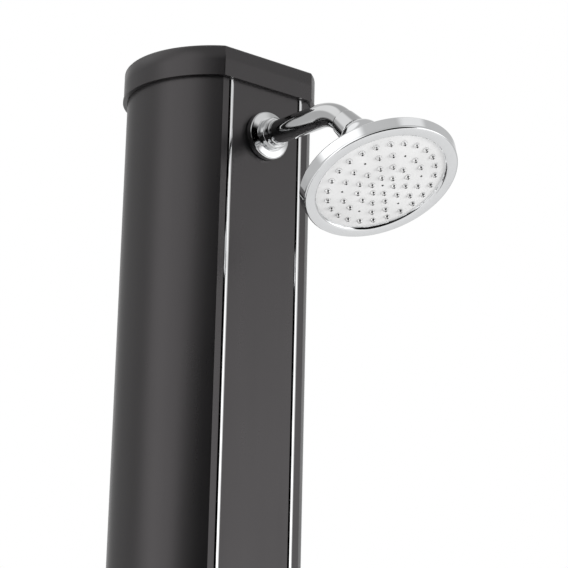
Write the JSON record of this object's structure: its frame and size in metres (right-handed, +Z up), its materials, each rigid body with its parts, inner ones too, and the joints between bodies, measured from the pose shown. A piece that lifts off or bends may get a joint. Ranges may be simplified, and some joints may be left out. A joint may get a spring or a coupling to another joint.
{
  "type": "outdoor shower post",
  "caption": "Free-standing solar shower column: D-shaped black water tank on a bolted foot, with a bent arm, a ball-jointed round head and a single-lever mixer.",
  "frame": {"origin": "on the floor, on the axis of the round back of the tank and at the centre of the floor bolts", "axes": "+Z up; the flat front with the arm and the mixer faces -Y; +X to the right of the person who faces +Y"},
  "size_m": [0.2594, 0.4481, 2.2],
  "materials": {
    "tank_black": "matt, lightly textured",
    "cap_black": "matt moulded",
    "foot_black": "matt moulded",
    "plug_black": "matt moulded",
    "trim_chrome": "bright",
    "arm_chrome": "bright",
    "head_chrome": "bright",
    "mixer_chrome": "bright",
    "brass": "machined",
    "inlet_chrome": "bright",
    "seal_rubber": "matt",
    "nozzle_silicone": "translucent, soft",
    "nozzle_plate_grey": "satin",
    "inner_plastic": "smooth",
    "steel": "plain",
    "pipe_plastic": "smooth"
  },
  "bodies": {
    "post": {"lower_tank": "tank_black", "upper_tank": "tank_black", "middle_joint": "tank_black", "top_cap": "cap_black", "foot": "foot_black", "lower_tank_floor": "plug_black", "lower_tank_lid": "plug_black", "upper_tank_floor": "plug_black", "upper_tank_lid": "plug_black", "lower_left_trim": "trim_chrome", "lower_right_trim": "trim_chrome", "upper_left_trim": "trim_chrome", "upper_right_trim": "trim_chrome", "shower_arm": "arm_chrome", "wall_flange": "arm_chrome", "arm_hub_nut": "arm_chrome", "swivel_nut": "arm_chrome", "mixer_flange": "mixer_chrome", "arm_elbow": "brass", "arm_inner_nut": "brass", "mixer_body": "brass", "mixer_inner_nut": "brass", "mixer_retainer": "brass", "inlet_inner_nut": "brass", "drain_boss": "brass", "inlet_connector": "inlet_chrome", "drain_plug": "inlet_chrome", "flange_seal": "seal_rubber", "swivel_seal": "seal_rubber", "inlet_seal": "seal_rubber", "drain_seal": "seal_rubber", "mixer_cartridge": "inner_plastic", "foot_screws": "steel", "joint_screws": "steel", "riser_pipe": "pipe_plastic", "hot_pipe": "pipe_plastic", "transfer_pipe": "pipe_plastic", "cold_pipe": "pipe_plastic"},
    "swivel": {"swivel_ball": "arm_chrome"},
    "head": {"head_shell": "head_chrome", "ball_cup": "inner_plastic", "cup_ring": "brass", "head_ring": "head_chrome", "nozzle_plate": "nozzle_plate_grey", "nozzle_mat": "nozzle_silicone", "face_pins": "nozzle_plate_grey"},
    "mixer_core": {"mixer_rotor": "inner_plastic", "stem_pin": "steel"},
    "mixer_lever": {"mixer_stem": "steel", "mixer_handle": "mixer_chrome", "handle_screw": "steel", "handle_plug": "inner_plastic"}
  },
  "joints": [
    {"name": "ball_turn", "type": "hinge", "parent": "post", "child": "swivel", "pos_m": [0, -0.22644, 2.07667], "axis": [0, -0.7373, -0.6756], "continuous": true},
    {"name": "head_tilt", "type": "hinge", "parent": "swivel", "child": "head", "pos_m": [0, -0.22644, 2.07667], "axis": [1, 0, 0], "range_deg": [-41, 3]},
    {"name": "mixer_turn", "type": "hinge", "parent": "post", "child": "mixer_core", "pos_m": [0, -0.092, 1], "axis": [0, -1, 0], "range_deg": [-45, 45]},
    {"name": "mixer_lift", "type": "hinge", "parent": "mixer_core", "child": "mixer_lever", "pos_m": [0, -0.092, 1], "axis": [-1, 0, 0], "range_deg": [0, 25]}
  ]
}
